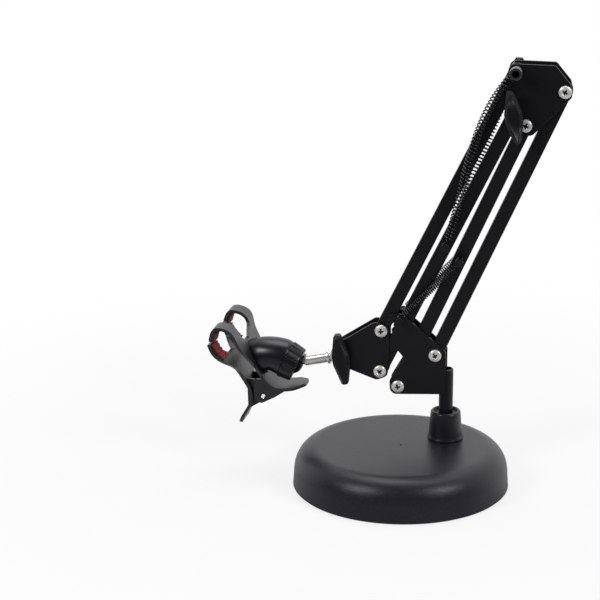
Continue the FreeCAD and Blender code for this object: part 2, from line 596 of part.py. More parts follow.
# Hollow hinge tube and the coil spring round it, a leg along each lever.
tube_half = EAR_A_IN + EAR_T + 0.2
hinge_tube = across(HINGE, -tube_half, tube_half, HINGE_TUBE_R).cut(
    across(HINGE, -tube_half, tube_half, HINGE_HOLE_R))
save_on_ball(hinge_tube, "clip_hinge_tube")
coil_half = EAR_B_IN - 0.6
coil = across(HINGE, -coil_half, coil_half, CLIP_COIL_R + CLIP_COIL_WIRE).cut(
    across(HINGE, -coil_half, coil_half, CLIP_COIL_R - CLIP_COIL_WIRE))
legs = []
for step, side in (((14.5, 3.6), -coil_half), ((-8.4, -10.3), coil_half)):
    middle = side * (1 - 1.4 * CLIP_COIL_WIRE / coil_half)
    reach = Vector(step[0], 0, step[1])
    foot = at(HINGE[0], HINGE[1], middle) + Vector(reach).normalize() * CLIP_COIL_R
    legs.append(Part.makeCylinder(CLIP_COIL_WIRE, reach.Length - CLIP_COIL_R, foot, reach))
save_on_ball(fuse(coil, *legs), "clip_spring")

# Red toothed pads inside the claw tips.
save_on_ball(jaw_rubber(HALF_A, 1, 0.915, 0.985), "jaw_pads_a")
save_on_ball(jaw_rubber(HALF_B, -1, 0.78, 0.985), "jaw_pads_b")

# Ball socket: a bent bell from the strut to the lock ring, threaded neck, round seat for the cup.
socket_angle = math.radians(SOCKET_SLOPE)
socket_axis = Vector(math.cos(socket_angle), 0, math.sin(socket_angle))
neck_face = RING_BACK - SIDE_GAP
rings = []
bell_root = at(BALL[0] - 29.0, BALL[1] + 0.8)
bell_middle = at(BALL[0] - 19.0, BALL[1] + 4.4)
for centre, slope, radius in ((bell_root, 37.0, 10.4), (bell_middle, 14.0, 12.4),
                              (ball + socket_axis * (neck_face - 5.0), SOCKET_SLOPE, SOCKET_R),
                              (ball + socket_axis * neck_face, SOCKET_SLOPE, SOCKET_R)):
    tilt = math.radians(slope)
    circle = Part.makeCircle(radius, centre, Vector(math.cos(tilt), 0, math.sin(tilt)))
    rings.append(Part.Wire([circle]))
bell = Part.makeLoft(rings, True, False)
thread = Part.makeCylinder(THREAD_R, 0.8 - neck_face + 1.0, ball + socket_axis * (neck_face - 1.0), socket_axis)
bell = fuse(bell, thread).cut(Part.makeSphere(CUP_R + RUN_FIT, ball))
strut = band(HALF_A, -CLIP_T / 2 - SEAT_GAP, CLIP_T / 2 + SEAT_GAP, 0, 1, -wide, wide)
bell = bell.cut(strut)
save_on_ball(max(bell.Solids, key=lambda solid: solid.Volume), "ball_socket")

# Lock ring: ribbed nut over the socket's neck, its mouth open wide enough for the rod's neck.
ring = turned([(RING_BACK, RING_BORE_R), (RING_BACK, RING_BACK_R - 0.5), (RING_BACK + 0.5, RING_BACK_R),
               (RING_FRONT - 0.5, RING_FRONT_R), (RING_FRONT, RING_FRONT_R - 0.5), (RING_FRONT, RING_MOUTH_R),
               (1.3, RING_BORE_R)], ball, socket_axis)
across_ring = socket_axis.cross(Vector(0, 1, 0))
for k in range(RING_RIBS):
    turn = 2 * math.pi * k / RING_RIBS
    spoke = across_ring * math.cos(turn) + Vector(0, 1, 0) * math.sin(turn)
    back = ball + socket_axis * (RING_BACK - 1) + spoke * (RING_BACK_R + 0.45)
    front = ball + socket_axis * (RING_FRONT + 1) + spoke * (RING_FRONT_R + 0.45)
    ring = ring.cut(Part.makeCylinder(0.95, (front - back).Length, back, front - back))
save_on_ball(ring, "lock_ring")
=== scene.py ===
import json
import math

import bmesh
import bpy
from mathutils import Matrix, Vector

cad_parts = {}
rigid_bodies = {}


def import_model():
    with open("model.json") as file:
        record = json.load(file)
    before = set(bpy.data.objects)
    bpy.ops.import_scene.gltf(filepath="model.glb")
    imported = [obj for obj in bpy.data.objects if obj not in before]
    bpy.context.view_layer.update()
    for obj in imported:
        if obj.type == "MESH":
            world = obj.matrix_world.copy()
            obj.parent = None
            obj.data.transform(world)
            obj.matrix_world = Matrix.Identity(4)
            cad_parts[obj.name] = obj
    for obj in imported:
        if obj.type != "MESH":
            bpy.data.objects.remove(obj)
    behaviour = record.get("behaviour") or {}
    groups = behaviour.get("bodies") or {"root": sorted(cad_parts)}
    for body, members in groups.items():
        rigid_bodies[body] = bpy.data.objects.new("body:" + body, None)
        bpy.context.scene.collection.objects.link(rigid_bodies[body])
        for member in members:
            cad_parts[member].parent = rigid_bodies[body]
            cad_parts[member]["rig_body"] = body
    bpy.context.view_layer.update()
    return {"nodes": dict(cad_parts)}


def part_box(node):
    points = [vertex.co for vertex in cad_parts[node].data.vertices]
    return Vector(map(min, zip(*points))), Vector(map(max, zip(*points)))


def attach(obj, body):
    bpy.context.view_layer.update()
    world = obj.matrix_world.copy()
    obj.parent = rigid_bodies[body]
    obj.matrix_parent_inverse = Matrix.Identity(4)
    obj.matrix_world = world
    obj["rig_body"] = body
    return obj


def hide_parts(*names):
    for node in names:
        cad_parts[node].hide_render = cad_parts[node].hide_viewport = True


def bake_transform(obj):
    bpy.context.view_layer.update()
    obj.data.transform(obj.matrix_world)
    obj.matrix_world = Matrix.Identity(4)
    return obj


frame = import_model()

# The base: a heavy round casting with a rolled shoulder and a flat top, hollow below.
# Cast iron, sprayed with a charcoal paint that dries to a fine wrinkle; a centre mark is left on top.
# It is turned as one profile, from the middle of the hollow round the wall to the middle of the top.


class Wire:
    """One output of a node. Sums on it are written as sums and add their own Math nodes."""

    def __init__(self, net, socket):
        self.net = net
        self.socket = socket

    def sum(self, operation, first, second):
        return self.net.node("ShaderNodeMath", {"operation": operation}, {0: first, 1: second})

    def __add__(self, other):
        return self.sum("ADD", self, other)

    def __radd__(self, other):
        return self.sum("ADD", other, self)

    def __sub__(self, other):
        return self.sum("SUBTRACT", self, other)

    def __rsub__(self, other):
        return self.sum("SUBTRACT", other, self)

    def __mul__(self, other):
        return self.sum("MULTIPLY", self, other)

    def __rmul__(self, other):
        return self.sum("MULTIPLY", other, self)


class Net:
    """The node tree of a finish or of a repeated piece."""

    def __init__(self, tree):
        self.tree = tree

    def node(self, kind, settings=None, sockets=None, out=0):
        """Adds a node, its settings first and then the value or wire of each socket; gives one output."""
        made = self.tree.nodes.new(kind)
        for name, value in (settings or {}).items():
            setattr(made, name, value)
        for key, value in (sockets or {}).items():
            self.feed(made, key, value)
        return Wire(self, self.find(made.outputs, out))

    def find(self, sockets, key):
        if isinstance(key, int):
            return sockets[key]
        return next(s for s in sockets if key in (s.identifier, s.name))

    def feed(self, node, key, value):
        socket = self.find(node.inputs, key)
        if isinstance(value, Wire):
            self.tree.links.new(value.socket, socket)
        else:
            socket.default_value = value


class Finish(Net):
    """A surface finish: constants go on the shader's own sockets, what varies is wired to it."""

    def __init__(self, name, constants):
        self.material = bpy.data.materials.new(name)
        self.material.use_nodes = True
        super().__init__(self.material.node_tree)
        self.shader = self.tree.nodes["Principled BSDF"]
        for key, value in constants.items():
            self.feed(self.shader, key, value)

    def grain(self, size, detail):
        """Noise with features of that size in metres."""
        place = self.node("ShaderNodeTexCoord", out="Object")
        return self.node("ShaderNodeTexNoise", None,
                         {"Vector": place, "Scale": 1.0 / size, "Detail": detail})

    def blend(self, share, first, second):
        """A colour from the first where the share is 0 to the second where it is 1."""
        return self.node("ShaderNodeMix", {"data_type": "RGBA"},
                         {"Factor_Float": share, "A_Color": first, "B_Color": second}, "Result_Color")

    def steps(self, value, low, high):
        """The value drawn out so that low gives 0 and high gives 1."""
        return self.node("ShaderNodeMapRange", {"interpolation_type": "SMOOTHSTEP"},
                         {"Value": value, "From Min": low, "From Max": high})

    def colour(self, wire):
        self.feed(self.shader, "Base Color", wire)

    def rough(self, wire):
        self.feed(self.shader, "Roughness", wire)

    def relief(self, height, distance, strength):
        """Raised and sunk grain, with the distance in metres between its highest and lowest points."""
        bump = self.node("ShaderNodeBump", None,
                         {"Height": height, "Distance": distance, "Strength": strength})
        self.feed(self.shader, "Normal", bump)


def plain(piece):
    """Turns a piece's modifiers into plain mesh."""
    graph = bpy.context.evaluated_depsgraph_get()
    mesh = bpy.data.meshes.new_from_object(piece.evaluated_get(graph))
    piece.modifiers.clear()
    piece.data = mesh
    mesh.name = piece.name


def lathe(profile, steps=48, upright=False):
    """A closed solid of revolution from (height, radius) points, about Z if upright and else about Y."""
    form = bmesh.new()
    rings = []
    for height, radius in profile:
        ring = []
        for k in range(steps if radius else 1):
            across = radius * math.cos(2 * math.pi * k / steps)
            deep = radius * math.sin(2 * math.pi * k / steps)
            ring.append(form.verts.new((across, deep, height) if upright else (across, height, deep)))
        rings.append(ring)
    for low, high in zip(rings, rings[1:]):
        for k in range(steps):
            j = (k + 1) % steps
            corners = [low[k % len(low)], low[j % len(low)], high[j % len(high)], high[k % len(high)]]
            form.faces.new(list(dict.fromkeys(corners)))
    bmesh.ops.recalc_face_normals(form, faces=form.faces)
    return form


def as_piece(form, name):
    """A piece at the origin from a finished form."""
    mesh = bpy.data.meshes.new(name)
    form.to_mesh(mesh)
    form.free()
    piece = bpy.data.objects.new(name, mesh)
    bpy.context.scene.collection.objects.link(piece)
    return piece


base_paint = Finish("base wrinkle paint", {"Specular IOR Level": 0.42})
wrinkle = base_paint.grain(0.0011, 3.0)
speck = base_paint.grain(0.00045, 1.0)
cloud = base_paint.grain(0.03, 2.0)
base_paint.colour(base_paint.blend(base_paint.steps(wrinkle * 0.7 + cloud * 0.3, 0.35, 0.65),
                                   (0.0078, 0.0068, 0.0120, 1), (0.0137, 0.0122, 0.0192, 1)))
base_paint.rough(0.30 + 0.15 * speck)
base_paint.relief(wrinkle * 0.7 + speck * 0.3, 0.00020, 0.85)
BASE_R = 0.0745
BASE_H = 0.0290
BASE_FOOT = 0.0010
FLAT_R = 0.0570
WALL_H = 0.0095
SHELL = 0.0050
LEAN = 0.0006
FOOT_BREAK = 0.0005
SHOULDER_STEPS = 24
SHOULDER_POWER = 0.88  # a little fuller than a quarter ellipse
MARK_R = 0.0010
MARK_FLOOR_R = 0.6 * MARK_R
MARK_SIDE = 0.0006
MARK_DEPTH = 0.0007
skin = [(BASE_H - SHELL, 0.0), (BASE_H - SHELL, FLAT_R - SHELL), (WALL_H, BASE_R - SHELL),
        (BASE_FOOT, BASE_R - SHELL), (BASE_FOOT, BASE_R - FOOT_BREAK), (BASE_FOOT + FOOT_BREAK, BASE_R)]
for step in range(SHOULDER_STEPS + 1):
    angle = math.radians(90 * step / SHOULDER_STEPS)
    skin.append((WALL_H + (BASE_H - WALL_H) * math.sin(angle) ** SHOULDER_POWER,
                 FLAT_R + (BASE_R - LEAN - FLAT_R) * math.cos(angle) ** SHOULDER_POWER))
skin += [(BASE_H, MARK_R), (BASE_H - MARK_SIDE, MARK_FLOOR_R), (BASE_H - MARK_DEPTH, 0.0)]
base_form = lathe(skin, steps=192, upright=True)
for face in base_form.faces:
    face.smooth = True
casting = as_piece(base_form, "base_weight_cast")
casting.data.materials.append(base_paint.material)
crisp = casting.modifiers.new("even faces", "WEIGHTED_NORMAL")
crisp.keep_sharp = True
plain(casting)
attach(casting, frame["nodes"]["base_weight"]["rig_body"])
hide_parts("base_weight")

# The foot pad: a thin disc of black rubber foam, stuck under the base so that it doesn't slide.
# Dull and full of pores. From here on, most pieces are solids of the part with their edges dressed.
foot_rubber = Finish("foot rubber", {"Specular IOR Level": 0.25})
pores = foot_rubber.grain(0.0008, 3.0)
foot_rubber.colour(foot_rubber.blend(pores, (0.010, 0.010, 0.011, 1), (0.022, 0.022, 0.023, 1)))
foot_rubber.rough(0.75 + 0.2 * pores)
foot_rubber.relief(pores, 0.0001, 0.6)
WELD = 0.000002
FLAT_TURN = 0.1  # in degrees: faces that turn by less are joined
SHARP_TURN = 38  # in degrees: edges that turn by more are rolled over
CORNER_SLACK = 0.0002
LONG_SIDE = 10


def rolled(piece, name, width, segments, sharp):
    """Rounds over every edge that turns by more than the sharp angle, in degrees."""
    roll = piece.modifiers.new(name, "BEVEL")
    roll.width = width
    roll.segments = segments
    roll.limit_method = "ANGLE"
    roll.angle_limit = math.radians(sharp)
    return roll


def dressed(node, finish, edge, edge_finish=None, segments=2, drawn=None):
    """A copy of a solid with its facets joined and its edges rolled over, riding where that solid rides.

    A drawn tube gives its corner radius and half its width, and its long outer edges are rounded too.
    """
    mesh = frame["nodes"][node].data.copy()
    mesh.name = node
    mesh.materials.clear()
    form = bmesh.new()
    form.from_mesh(mesh)
    bmesh.ops.remove_doubles(form, verts=form.verts, dist=WELD)
    bmesh.ops.dissolve_limit(form, angle_limit=math.radians(FLAT_TURN), verts=form.verts, edges=form.edges)
    for face in form.faces:
        face.smooth = True
        face.material_index = 0
    form.to_mesh(mesh)
    form.free()
    piece = bpy.data.objects.new(node + "_dressed", mesh)
    bpy.context.scene.collection.objects.link(piece)
    mesh.materials.append(finish)
    if edge_finish:
        mesh.materials.append(edge_finish)
    if drawn:
        corner, half = drawn
        middle = sum(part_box(node), Vector()) / 2
        share = mesh.attributes.new("bevel_weight_edge", "FLOAT", "EDGE")
        for side in mesh.edges:
            first, last = (mesh.vertices[k].co for k in side.vertices)
            outer = min(abs(first.y - middle.y), abs(last.y - middle.y)) > half - CORNER_SLACK
            long = (last - first).length > LONG_SIDE * half
            share.data[side.index].value = float(outer and long)
        rounded = piece.modifiers.new("drawn corners", "BEVEL")
        rounded.width = corner
        rounded.segments = 4
        rounded.limit_method = "WEIGHT"
        rounded.use_clamp_overlap = False
    roll = rolled(piece, "rolled edges", edge, segments, SHARP_TURN)
    if edge_finish:
        roll.material = 1
    even = piece.modifiers.new("even faces", "WEIGHTED_NORMAL")
    even.mode = "FACE_AREA"
    even.weight = 100
    plain(piece)
    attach(piece, frame["nodes"][node]["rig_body"])
    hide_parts(node)


dressed("foot_pad", foot_rubber.material, 0.0002)

# The socket: a tapered collar of moulded black plastic, pressed into the base by its spigot.
# Its foot flares and its mouth has a rolled rim that catches the light.
black_plastic = Finish("moulded black plastic", {"Specular IOR Level": 0.5})
mould = black_plastic.grain(0.0006, 2.0)
flow = black_plastic.grain(0.012, 2.0)
black_plastic.colour(black_plastic.blend(flow, (0.007, 0.0074, 0.0112, 1), (0.012, 0.0126, 0.0172, 1)))
black_plastic.rough(0.26 + 0.10 * mould + 0.06 * flow)
black_plastic.relief(mould, 0.00004, 0.3)
dressed("post_socket", black_plastic.material, 0.0003, segments=3)

# The post: a round steel tube in satin black paint, free to swivel in the socket, open at its top.
# The paint is thin where it runs over an edge, and there it is rubbed to a dark grey that is also a
# painted highlight along the edge.
black_paint = Finish("satin black paint", {"Specular IOR Level": 0.32})
peel = black_paint.grain(0.0009, 2.0)
dust = black_paint.grain(0.00035, 1.0)
patch = black_paint.grain(0.02, 2.0)
black_paint.colour(black_paint.blend(patch * 0.6 + dust * 0.4, (0.0050, 0.0052, 0.0074, 1),
                                     (0.0092, 0.0095, 0.0126, 1)))
black_paint.rough(0.30 + 0.10 * patch + 0.10 * dust)
black_paint.relief(peel, 0.00005, 0.35)
worn_edge_and_highlight = Finish("thin paint on a rolled edge", {"Specular IOR Level": 0.5})
rub = worn_edge_and_highlight.grain(0.0012, 3.0)
# The lighter grey on the rolled edges is worn paint and also a painted highlight along them.
worn_edge_and_highlight.colour(worn_edge_and_highlight.blend(worn_edge_and_highlight.steps(rub, 0.45, 0.7), (0.008, 0.008, 0.010, 1),
                                   (0.045, 0.045, 0.050, 1)))
worn_edge_and_highlight.rough(0.30 + 0.15 * rub)
worn_edge_and_highlight.relief(rub, 0.00004, 0.3)
dressed("post", black_paint.material, 0.0003, worn_edge_and_highlight.material)

# The base plates: two boomerangs of pressed steel welded to the post, each with a stud on its lug
# for one lower spring. Same satin paint, thin on the sheared edges, where its lighter grey is also a
# painted highlight.
for node in ("base_plate_near", "base_plate_far"):
    dressed(node, black_paint.material, 0.00028, worn_edge_and_highlight.material)

# The lower arm: two square steel tubes, nipped round at their ends, side by side as a parallelogram.
# They are drawn with rounded corners and painted like the plates.
TUBE_HALF = 0.0047
TUBE_CORNER = 0.0011
for node in ("lower_tube_lead", "lower_tube_follow"):
    dressed(node, black_paint.material, 0.0003, drawn=(TUBE_CORNER, TUBE_HALF))

# The elbow plates: a six-sided pair of pressed steel that carries the ends of all four tubes.
# Painted like the base plates, thin on the sheared edges, where the lighter grey is also a painted
# highlight.
for node in ("elbow_plate_near", "elbow_plate_far"):
    dressed(node, black_paint.material, 0.00028, worn_edge_and_highlight.material)

# The upper arm: two more of the same square steel tubes, folded down beside the lower arm.
# Drawn and painted like those of the lower arm.
for node in ("upper_tube_lead", "upper_tube_follow"):
    dressed(node, black_paint.material, 0.0003, drawn=(TUBE_CORNER, TUBE_HALF))

# The head plates: a five-sided pair of pressed steel at the free end of the upper arm.
# Painted like the other plates, and clamped on the eye of the chrome rod.
for node in ("head_plate_near", "head_plate_far"):
    dressed(node, black_paint.material, 0.00028, worn_edge_and_highlight.material)

# The spring pins: headed pins driven across a tube, with one spring's eye on each end.
# Blackened steel, worn a little brighter in spots.
dark_pin = Finish("blackened steel", {"Metallic": 1.0})
oxide = dark_pin.grain(0.0007, 3.0)
dark_pin.colour(dark_pin.blend(oxide, (0.045, 0.045, 0.050, 1), (0.10, 0.10, 0.105, 1)))
dark_pin.rough(0.28 + 0.15 * oxide)
dark_pin.relief(oxide, 0.00002, 0.3)
for node in ("lower_spring_pin", "upper_spring_pin"):
    dressed(node, dark_pin.material, 0.0002)

# The springs: extension springs wound from black spring wire, an eye bent out at each end.
# The lower pair is nearly closed and straight. The upper pair is drawn out: the near one bows out
# and the far one is almost straight. Each runs between two studs or pins.
spring_steel = Finish("black spring wire", {"Metallic": 1.0})
draw = spring_steel.grain(0.0006, 2.0)
spring_steel.colour(spring_steel.blend(draw, (0.035, 0.035, 0.040, 1), (0.11, 0.11, 0.115, 1)))
spring_steel.rough(0.20 + 0.14 * draw)
spring_steel.relief(draw, 0.00001, 0.3)
EYE_SWEEP = math.radians(325)
BEND_OUT = 0.9  # handles of the bend from the coil to the eye, in coil radii and hook reaches
BEND_RISE = 0.25
BEND_FALL = 0.45
BOW_GAIN = 27 / 4  # x * (1 - x) ** 2 is greatest at a third, where it is 4/27


def grown(tree, inputs, name, start=None):
    """A plain mesh piece grown by a geometry tree; inputs are set by each socket's identifier."""
    piece = bpy.data.objects.new(name, start or bpy.data.meshes.new(name))
    bpy.context.scene.collection.objects.link(piece)
    grow = piece.modifiers.new("grow", "NODES")
    grow.node_group = tree
    for item in tree.interface.items_tree:
        if item.in_out == "INPUT" and item.name in inputs:
            grow[item.identifier] = inputs[item.name]
    plain(piece)
    return piece


def new_tree(name, sizes):
    """A geometry tree with a geometry input and output and a named input for each size."""
    tree = bpy.data.node_groups.new(name, "GeometryNodeTree")
    tree.interface.new_socket("Geometry", in_out="INPUT", socket_type="NodeSocketGeometry")
    for label, kind in sizes:
        tree.interface.new_socket(label, in_out="INPUT", socket_type="NodeSocket" + kind)
    tree.interface.new_socket("Geometry", in_out="OUTPUT", socket_type="NodeSocketGeometry")
    net = Net(tree)
    given = tree.nodes.new("NodeGroupInput")
    wires = {s.name: Wire(net, s) for s in given.outputs if s.name}
    return net, wires


def closed_tree(net, geometry, finish):
    """Ends a geometry tree: its faces smooth, its copies made real and the finish on them."""
    smooth = net.node("GeometryNodeSetShadeSmooth", None, {"Geometry": geometry})
    whole = net.node("GeometryNodeRealizeInstances", None, {"Geometry": smooth})
    coated = net.node("GeometryNodeSetMaterial", None, {"Geometry": whole, "Material": finish})
    net.feed(net.tree.nodes.new("NodeGroupOutput"), "Geometry", coated)
    return net.tree


def point(net, x, y, z):
    return net.node("ShaderNodeCombineXYZ", None, {"X": x, "Y": y, "Z": z})


def coil(net, given, steps):
    """The turns of a spring along +Z from the origin, with so many steps to a turn."""
    return net.node("GeometryNodeCurveSpiral", None, {
        "Resolution": steps, "Rotations": given["Turns"], "Start Radius": given["Coil Radius"],
        "End Radius": given["Coil Radius"], "Height": given["Coil Length"]})


def round_wire(net, curves, radius, sides):
    """The curves of one spring as round wire with closed ends."""
    joined = net.tree.nodes.new("GeometryNodeJoinGeometry")
    for curve in curves:
        net.tree.links.new(curve.socket, joined.inputs[0])
    profile = net.node("GeometryNodeCurvePrimitiveCircle", None, {"Resolution": sides, "Radius": radius})
    return net.node("GeometryNodeCurveToMesh", None, {
        "Curve": Wire(net, joined.outputs[0]), "Profile Curve": profile, "Fill Caps": True})


def spring_tree():
    """Coil along +Z from the origin, with a hook and eye beyond each end, then laid into place."""
    net, given = new_tree("extension spring", [
        ("Coil Length", "Float"), ("Coil Radius", "Float"), ("Wire Radius", "Float"), ("Turns", "Float"),
        ("Hook Reach", "Float"), ("First Eye", "Float"), ("Last Eye", "Float"), ("Bow", "Float"),
        ("Place", "Vector"), ("Lean", "Float"), ("Finish", "Material")])
    length = given["Coil Length"]
    radius = given["Coil Radius"]
    hook = given["Hook Reach"]
    curves = [coil(net, given, 20)]
    for sign, root, eye in ((-1.0, 0.0, given["First Eye"]), (1.0, length, given["Last Eye"])):
        centre = root + sign * hook
        crown = centre - sign * eye
        bend = net.node("GeometryNodeCurvePrimitiveBezierSegment", None, {
            "Resolution": 14, "Start": point(net, radius, 0.0, root),
            "Start Handle": point(net, radius, sign * BEND_OUT * radius, root + sign * BEND_RISE * hook),
            "End Handle": point(net, 0.0, 0.0, crown - sign * BEND_FALL * hook),
            "End": point(net, 0.0, 0.0, crown)})
        loop = net.node("GeometryNodeCurveArc", None, {
            "Resolution": 28, "Radius": eye, "Start Angle": -sign * math.pi / 2,
            "Sweep Angle": EYE_SWEEP})
        turned = net.node("GeometryNodeTransform", None, {
            "Geometry": loop, "Translation": point(net, 0.0, 0.0, centre),
            "Rotation": (math.pi / 2, 0.0, 0.0)})
        curves += [bend, turned]
    wound = round_wire(net, reversed(curves), given["Wire Radius"], 8)
    height = net.node("ShaderNodeSeparateXYZ", None, {0: net.node("GeometryNodeInputPosition")}, "Z")
    share = net.node("ShaderNodeMapRange", None, {
        "Value": height, "From Min": 0.0 - hook, "From Max": length + hook})
    lift = BOW_GAIN * given["Bow"] * share * (1.0 - share) * (1.0 - share)
    arched = net.node("GeometryNodeSetPosition", None, {
        "Geometry": wound, "Offset": point(net, lift, 0.0, 0.0)})
    laid = net.node("GeometryNodeTransform", None, {
        "Geometry": arched, "Translation": given["Place"],
        "Rotation": point(net, 0.0, given["Lean"], 0.0)})
    return closed_tree(net, laid, given["Finish"])


extension_spring = spring_tree()
ARM_Y = 0.0194
PLATE_OUT = 0.0065
SIDE_ROOM = 0.00025
STUD_X = -0.0030
STUD_Z = 0.1170
NEAR, FAR = -1, 1
LOWER_COIL = {"size": 0.0028, "pitch": 0.0016, "wire": 0.00044, "hook": 0.0048, "eyes": (0.0023, 0.00255)}
UPPER_COIL = {"size": 0.00345, "pitch": 0.0025, "wire": 0.00050, "hook": 0.0055, "eyes": (0.0033, 0.00255)}
LOWER_BOW = 0.0
UPPER_NEAR_BOW = 0.0080
UPPER_FAR_BOW = 0.0008
stud = Vector((STUD_X, ARM_Y, STUD_Z))
cap_pivot = sum(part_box("spring_cap_nut"), Vector()) / 2
lower_pin = sum(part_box("lower_spring_pin"), Vector()) / 2
upper_pin = sum(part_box("upper_spring_pin"), Vector()) / 2


def stretched(node, first, last, side, bow, held, pulled, size, pitch, wire, hook, eyes):
    """One spring between two pins, laid in place once; the bodies that hold it and pull it are not used.
    """
    beside = ARM_Y + side * (PLATE_OUT + SIDE_ROOM + size)
    start = Vector((first.x, beside, first.z))
    end = Vector((last.x, beside, last.z))
    way = end - start
    length = way.length - 2 * hook
    piece = grown(extension_spring, {
        "Coil Length": length, "Coil Radius": size - wire, "Wire Radius": wire, "Turns": length / pitch,
        "Hook Reach": hook, "First Eye": eyes[0], "Last Eye": eyes[1], "Bow": bow,
        "Place": start + way.normalized() * hook, "Lean": math.atan2(way.x, way.z),
        "Finish": spring_steel.material}, node + "_wound")
    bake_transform(piece)
    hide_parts(node)


for node, side in (("lower_spring_near", NEAR), ("lower_spring_far", FAR)):
    stretched(node, stud, lower_pin, side, LOWER_BOW, "swivel", "lower_lead", **LOWER_COIL)
for node, side, bow in (("upper_spring_near", NEAR, UPPER_NEAR_BOW),
                        ("upper_spring_far", FAR, UPPER_FAR_BOW)):
    stretched(node, cap_pivot, upper_pin, side, bow, "elbow", "upper_follow", **UPPER_COIL)

# The pivot screws: domed cross-head screws of bright steel, one through both plates at each pivot,
# with a plain hexagon nut on the far side. One screw and one nut are shaped, then set at every pivot.
bright_steel = Finish("bright nickelled steel", {"Metallic": 0.55})
brushed = bright_steel.grain(0.0008, 3.0)
recess_shade = bright_steel.node("ShaderNodeAttribute", {"attribute_name": "recess"}, out="Fac")
nickel = bright_steel.blend(brushed, (0.86, 0.84, 0.81, 1), (0.97, 0.955, 0.93, 1))
# Inside the cross recess the steel is painted dark: painted shade of the recess, marked by the recess
# attribute.
bright_steel.colour(bright_steel.blend(recess_shade, nickel, (0.030, 0.026, 0.022, 1)))
bright_steel.rough(0.24 + 0.20 * brushed)
bright_steel.relief(brushed, 0.00002, 0.25)
HEAD_R = 0.0044
HEAD_T = 0.0022
HEAD_WALL = 0.0007
HEAD_BREAK = 0.0001
HEAD_SOFT = 0.00008
DOME_STEPS = 8
SHANK_R = 0.0020
SHANK_L = 0.0172
SHANK_TIP = 0.0004
CROSS_L = 0.0082
CROSS_D = 0.0032
CROSS_W = 0.00135
CROSS_TAPER = 0.35
CROSS_LIFT = 0.0003
# The two limits below mark the part of the head that is painted as the shade of the recess.
DARK_DEPTH = 0.00025  # what lies this far under the dome, inside its rim, is the dark of the recess
DARK_RISE = 0.3
NUT_R = 0.0040
NUT_T = 0.0032
NUT_ROOM = 0.00005
NUT_SOFT = 0.0003
FASTENER_SHARP = 40
MOST_TURN = 1.5


def screw_shape():
    """Pan head looking toward -Y with a cross recess, its seat at the origin, shank toward +Y."""
    profile = [(-HEAD_T, 0.0)]
    for k in range(1, DOME_STEPS + 1):
        angle = math.radians(90 * k / DOME_STEPS)
        profile.append((-HEAD_WALL - (HEAD_T - HEAD_WALL) * math.cos(angle), HEAD_R * math.sin(angle)))
    profile += [(-HEAD_BREAK, HEAD_R), (0.0, HEAD_R - HEAD_BREAK), (0.0, SHANK_R),
                (SHANK_L - SHANK_TIP, SHANK_R), (SHANK_L, SHANK_R - SHANK_TIP), (SHANK_L, 0.0)]
    head = as_piece(lathe(profile), "screw")
    cutter = bmesh.new()
    for spin in (0, 90):
        slot = bmesh.ops.create_cube(cutter, size=1.0)["verts"]
        bmesh.ops.scale(cutter, vec=(CROSS_L, CROSS_D, CROSS_W), verts=slot)
        for vert in slot:
            if vert.co.y > 0:
                vert.co.x *= CROSS_TAPER
        bmesh.ops.rotate(cutter, cent=(0, 0, 0), verts=slot,
                         matrix=Matrix.Rotation(math.radians(spin), 3, "Y"))
    bmesh.ops.translate(cutter, vec=(0, -HEAD_T - CROSS_LIFT, 0), verts=cutter.verts)
    recess = as_piece(cutter, "recess")
    cut = head.modifiers.new("recess", "BOOLEAN")
    cut.operation = "DIFFERENCE"
    cut.solver = "EXACT"
    cut.use_self = True
    cut.object = recess
    rolled(head, "soft edges", HEAD_SOFT, 2, FASTENER_SHARP)
    plain(head)
    bpy.data.objects.remove(recess)
    # Marks the points deep in the cross recess, where the shade of the recess is painted.
    recess_shade = head.data.attributes.new("recess", "FLOAT", "POINT")
    for vert, mark in zip(head.data.vertices, recess_shade.data):
        rise = 1 - (math.hypot(vert.co.x, vert.co.z) / HEAD_R) ** 2
        dome = -HEAD_WALL - (HEAD_T - HEAD_WALL) * math.sqrt(max(rise, 0.0))
        mark.value = float(vert.co.y > dome + DARK_DEPTH and rise > DARK_RISE and vert.co.y < 0)
    return head


def nut_shape():
    """Hexagon nut with its corners turned off, its seat at the origin, thickness toward +Y."""
    bore = SHANK_R + NUT_ROOM
    form = lathe([(0.0, bore), (0.0, NUT_R), (NUT_T, NUT_R), (NUT_T, bore)], steps=6)
    bmesh.ops.bridge_loops(form, edges=[e for e in form.edges if e.is_boundary])
    bmesh.ops.recalc_face_normals(form, faces=form.faces)
    piece = as_piece(form, "nut")
    rolled(piece, "turned corners", NUT_SOFT, 2, FASTENER_SHARP)
    plain(piece)
    return piece


def pivot_tree():
    """Sets one fastener on every point, each turned a little differently about its own axis."""
    net, given = new_tree("fasteners at the pivots", [
        ("Fastener", "Object"), ("Most Turn", "Float"), ("Seed", "Int"), ("Finish", "Material")])
    shape = net.node("GeometryNodeObjectInfo", {"transform_space": "ORIGINAL"},
                     {"Object": given["Fastener"]}, "Geometry")
    turn = net.node("FunctionNodeRandomValue", {"data_type": "FLOAT"},
                    {"Min_001": 0.0, "Max_001": given["Most Turn"], "Seed": given["Seed"]}, "Value_001")
    placed = net.node("GeometryNodeInstanceOnPoints", None, {
        "Points": given["Geometry"], "Instance": shape, "Rotation": point(net, 0.0, turn, 0.0)})
    return closed_tree(net, placed, given["Finish"])


def pivots(node):
    """Middle of each separate solid in a node, as seen along Y, in a fixed order."""
    form = bmesh.new()
    form.from_mesh(frame["nodes"][node].data)
    bmesh.ops.remove_doubles(form, verts=form.verts, dist=WELD)
    left = set(form.verts)
    middles = []
    while left:
        seen = [left.pop()]
        for vert in seen:
            for edge in vert.link_edges:
                other = edge.other_vert(vert)
                if other in left:
                    left.remove(other)
                    seen.append(other)
        xs = [v.co.x for v in seen]
        zs = [v.co.z for v in seen]
        middles.append(((min(xs) + max(xs)) / 2, (min(zs) + max(zs)) / 2))
    form.free()
    return sorted(middles)


